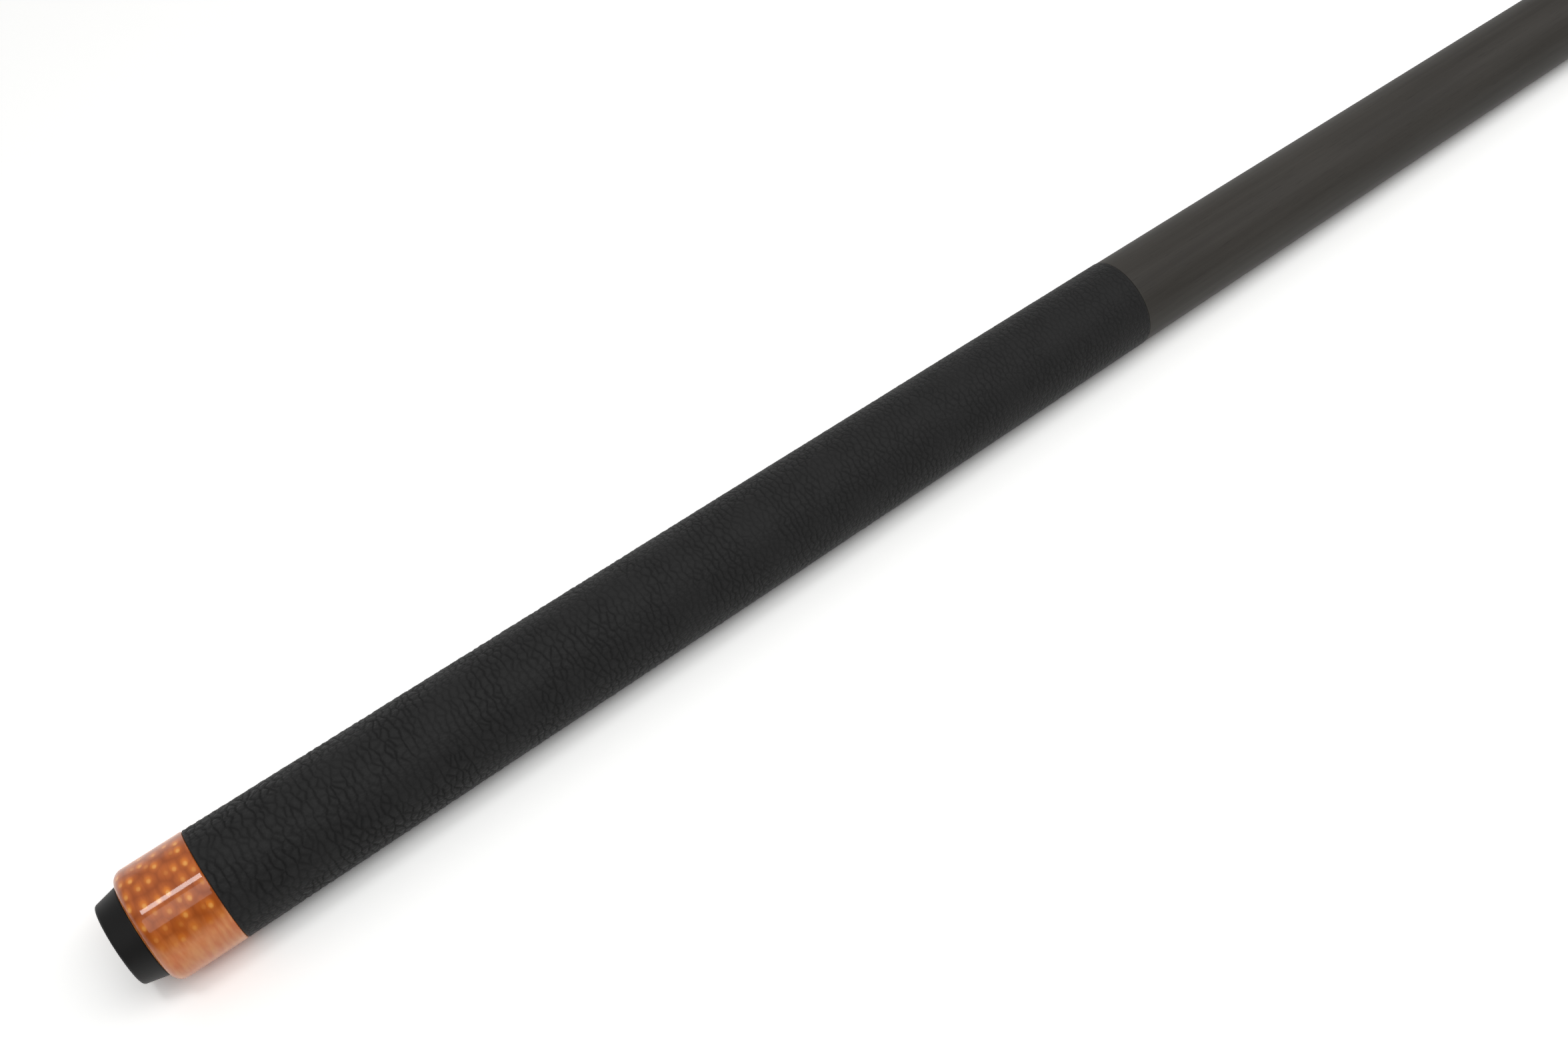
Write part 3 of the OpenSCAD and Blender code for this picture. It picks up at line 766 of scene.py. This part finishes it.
def refined(mesh, rear, front):
    """Draws the hide's map together towards the front, where the leather was stretched less."""
    layer = mesh.uv_layers["hide"].data
    for corner in mesh.loops:
        x = mesh.vertices[corner.vertex_index].co.x
        share = (x - rear) / (front - rear)
        turn = layer[corner.index].uv[1]
        layer[corner.index].uv = ((x - rear) / MM * (1 + FINER_ALONG * share),
                                  turn * (1 + FINER_ROUND * share))


def wrap_piece(material):
    """The leather: a sheet bonded round the handle, its two edges butted along the underside.
    The attribute skin says how much of the grain each of its points takes."""
    rear, front = (corner.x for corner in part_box("leather_wrap"))
    chain, closed = outline("leather_wrap")
    rear_r = max(r for x, r in chain if x < rear + MM)
    front_r = max(r for x, r in chain if x > front - MM)

    def on_skin(x, radius):
        middle = rear_r + (front_r - rear_r) * (x - rear) / (front - rear) - LEATHER_THICKNESS / 2
        return radius > middle

    def seam(x, angle, radius):
        return SEAM_DEPTH if on_skin(x, radius) and abs(angle + pi / 2) < 1e-6 else 0.0

    beside = SEAM_HALF_WIDTH / rear_r
    step = 2 * (pi - beside) / (WRAP_COLUMNS - 1)
    angles = [-pi / 2] + [-pi / 2 + beside + step * k for k in range(WRAP_COLUMNS)]
    chain = guarded(softened(chain, closed, LEATHER_FILLET), closed)
    chain = divided(chain, closed, WRAP_STEP, on_skin)
    mesh = spun_mesh("leather_sheet", chain, closed, angles, seam)
    skin = mesh.attributes.new("skin", "FLOAT", "POINT")
    for vertex in mesh.vertices:
        x, y, z = vertex.co
        radius = hypot(y, z - AXIS_Z)
        inside = min(x - rear, front - x) / PRESSED_EDGE
        off_seam = radius * abs(atan2(y, AXIS_Z - z)) / SEAM_MARGIN
        flatness = FLATTER * (x - rear) / (front - rear)
        relief = (1 - flatness) * min(1.0, inside, off_seam)
        skin.data[vertex.index].value = relief if on_skin(x, radius) else 0.0
    refined(mesh, rear, front)
    return finished_piece("leather_wrap_grained", grained(mesh, "grain"), material,
                          "black_leather", "butt", "leather_wrap", sharp=radians(50))


# ---------------------------------------------------------------- the cue

def cue_pieces():
    """Makes every piece of the cue from its CAD node, each in its own finish."""
    rubber = moulded_rubber()
    resin = cast_amber_resin()
    leather = tumbled_leather()
    stained = wood("stained_maple", "#44413d", "#3c3935", "#302d2a", 0.60, 0.0, 0.24)
    maple = wood("sealed_maple", "#e2c193", "#d3ab76", "#b88a55", 0.38, 0.35, 0.5)
    phenolic = turned_plastic("linen_phenolic", "#161617", "#0c0c0d", 0.16)
    ivory = turned_plastic("ivory_resin", "#efece2", "#e6e1d3", 0.2)
    nylon = turned_plastic("blue_nylon", "#27509a", "#1f4080", 0.5)
    fibre = vulcanised_fibre()
    tip_leather = pressed_leather()
    stainless = turned_metal("turned_stainless", "#c9cacc", 0.24)
    zinc = turned_metal("zinc_plated_steel", "#b4b9bf", 0.36)
    brass = turned_metal("turned_brass", "#c9a253", 0.30)
    blackened = turned_metal("blackened_steel", "#3a3a3d", 0.42)

    turned_piece("bumper", rubber, "bumper_rubber", fillet=0.35)
    turned_piece("butt_cap", resin, "amber_resin", fillet=0.5)
    wrap_piece(leather)
    turned_piece("handle", maple, "plain_maple")
    turned_piece("forearm", stained, "stained_maple")
    turned_piece("butt_collar", phenolic, "black_phenolic", fillet=0.12)
    turned_piece("shaft_collar", phenolic, "black_phenolic", fillet=0.12)
    turned_piece("shaft", maple, "plain_maple")
    turned_piece("ferrule", ivory, "ivory_resin", fillet=0.06)
    turned_piece("tip_pad", fibre, "red_fibre", fillet=0.06)
    turned_piece("tip", tip_leather, "tip_leather", fillet=0.3)

    joint = (JOINT_PITCH, JOINT_THREAD_DEPTH, radius_of("joint_pin"))
    weight = (WEIGHT_PITCH, WEIGHT_THREAD_DEPTH, radius_of("weight_bolt"))
    spigot_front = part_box("bumper")[1].x
    # A thread rides on the body that turns, also where its CAD node is on one that only slides
    threaded_rod("joint_pin", stainless, "stainless_steel", "butt", *joint)
    threaded_bore("shaft_insert", brass, "brass", "shaft_half", *joint)
    threaded_rod("bumper_stud", zinc, "zinc_steel", "bumper_body", *weight, start=spigot_front)
    threaded_bore("weight_sleeve", brass, "brass", "butt", *weight)
    threaded_rod("weight_bolt", blackened, "black_steel", "bolt_body", *weight,
                 across_flats=HEX_ACROSS_FLATS)
    threaded_rod("bolt_lock_ring", nylon, "blue_nylon", "bolt_body", *weight)
    threaded_rod("handle_stud", zinc, "zinc_steel", "butt", *weight)


# ---------------------------------------------------------------- studio

# Half the length of the floor's sides
FLOOR_HALF = 8.0
# How much brighter than it lights the board looks, which makes it the photograph's white
FLOOR_GAIN = 1.88
# The way to the room's bright side, and its light there and on its dim side
BRIGHT_WAY = (0, 0.6, 0.8)
BRIGHT_LEVEL, DIM_LEVEL = 0.6, 0.1
# Height of the backdrop in reflections, on a unit sphere
BACKDROP_TOP = 0.25
# Lights overhead, facing down: place, size and radiance. The strip draws the line on the cap,
# the panel lights the cue from end to end, and panel_end goes on behind the cap.
LIGHTS = {
    "strip": ((-0.7725, 0.055, 0.99), (0.145, 0.14), 12),
    "panel": ((0.41, -0.2385, 1.0), (2.38, 0.503), 2.0),
    "panel_end": ((-1.09, -0.425, 1.0), (0.62, 0.55), 1.6),
}


def studio_floor():
    """White board under the cue, sloped a little so that the cue rests on it as it would:
    on the wrap's front end and on the tip."""
    wrap_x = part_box("leather_wrap")[1].x
    wrap_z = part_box("forearm")[0].z
    tip_low, tip_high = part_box("tip")
    slope = (tip_low.z - wrap_z) / (tip_high.x - wrap_x)
    ends = (-FLOOR_HALF, FLOOR_HALF)
    mesh = bpy.data.meshes.new("floor")
    mesh.from_pydata([(x, y, wrap_z + (x - wrap_x) * slope) for x in ends for y in ends],
                     [], [(0, 2, 3, 1)])
    material, tree, surface = new_material("white_board")
    ray = add(tree, "ShaderNodeLightPath")
    seen = add(tree, "ShaderNodeMath",
               {0: ray.outputs["Is Camera Ray"], 1: ray.outputs["Is Glossy Ray"]}, operation="MAXIMUM")
    seen_through = add(tree, "ShaderNodeMath",
                       {0: seen.outputs[0], 1: ray.outputs["Is Transmission Ray"]},
                       operation="MAXIMUM")
    board = linear("#e8e8e7")
    shown = [part * FLOOR_GAIN for part in board[:3]] + [1.0]
    tone = add(tree, "ShaderNodeMix",
               {"Factor": seen_through.outputs[0], COLOUR_A: board, COLOUR_B: shown}, data_type="RGBA")
    tooth = add(tree, "ShaderNodeTexNoise", {"Vector": stretched(tree, 1.5, 1.5), "Scale": 1.0})
    bump = add(tree, "ShaderNodeBump", {"Height": tooth.outputs[0], "Distance": 0.01 * MM})
    connect(tree, surface, {"Base Color": tone.outputs[COLOUR_OUT], "Roughness": 1.0,
                            "Specular IOR Level": 0.0, "Normal": bump.outputs[0]})
    mesh.materials.append(material)
    floor = placed("floor", mesh)


def studio_room():
    """A dim room, brightest up behind the cue. It is plain white where the camera sees it, and
    in reflections in its low part, which stands for the backdrop behind the floor."""
    world = bpy.data.worlds.new("studio")
    bpy.context.scene.world = world
    world.use_nodes = True
    tree = world.node_tree
    tree.nodes.clear()
    direction = add(tree, "ShaderNodeTexCoord").outputs["Generated"]
    facing = add(tree, "ShaderNodeVectorMath", {0: direction, 1: BRIGHT_WAY},
                 operation="DOT_PRODUCT")
    level = add(tree, "ShaderNodeMapRange",
                {"Value": facing.outputs["Value"], "From Min": 0.2, "From Max": 1.0,
                 "To Min": DIM_LEVEL, "To Max": BRIGHT_LEVEL})
    height = add(tree, "ShaderNodeSeparateXYZ", {0: direction}).outputs["Z"]
    low = add(tree, "ShaderNodeMapRange",
              {"Value": height, "From Min": 0.0, "From Max": BACKDROP_TOP,
               "To Min": 1.0, "To Max": 0.0})
    ray = add(tree, "ShaderNodeLightPath")
    onward = add(tree, "ShaderNodeMath",
                 {0: ray.outputs["Is Glossy Ray"], 1: ray.outputs["Is Transmission Ray"]},
                 operation="MAXIMUM")
    mirrored = add(tree, "ShaderNodeMath", {0: onward.outputs[0], 1: low.outputs[0]},
                   operation="MULTIPLY")
    seen = add(tree, "ShaderNodeMath",
               {0: ray.outputs["Is Camera Ray"], 1: mirrored.outputs[0]}, operation="MAXIMUM")
    strength = add(tree, "ShaderNodeMix",
                   {"Factor": seen.outputs[0], NUMBER_A: level.outputs[0], NUMBER_B: 1.0})
    room = add(tree, "ShaderNodeBackground",
               {"Color": linear("#ffffff"), "Strength": strength.outputs[0]})
    add(tree, "ShaderNodeOutputWorld", {"Surface": room.outputs[0]})


def studio_light(name, location, size, radiance):
    """A soft rectangular light of the given radiance, which the camera doesn't see."""
    data = bpy.data.lights.new(name, "AREA")
    data.shape = "RECTANGLE"
    data.size, data.size_y = size
    data.energy = radiance * pi * size[0] * size[1]
    light = placed(name, data)
    light.location = location
    light.visible_camera = False


def studio():
    """The pale floor, the room and the lights that the cue is photographed in."""
    bpy.context.scene.view_settings.view_transform = "Standard"
    studio_floor()
    studio_room()
    for name, (location, size, radiance) in LIGHTS.items():
        studio_light(name, location, size, radiance)


make_camera()
cue_pieces()
studio()
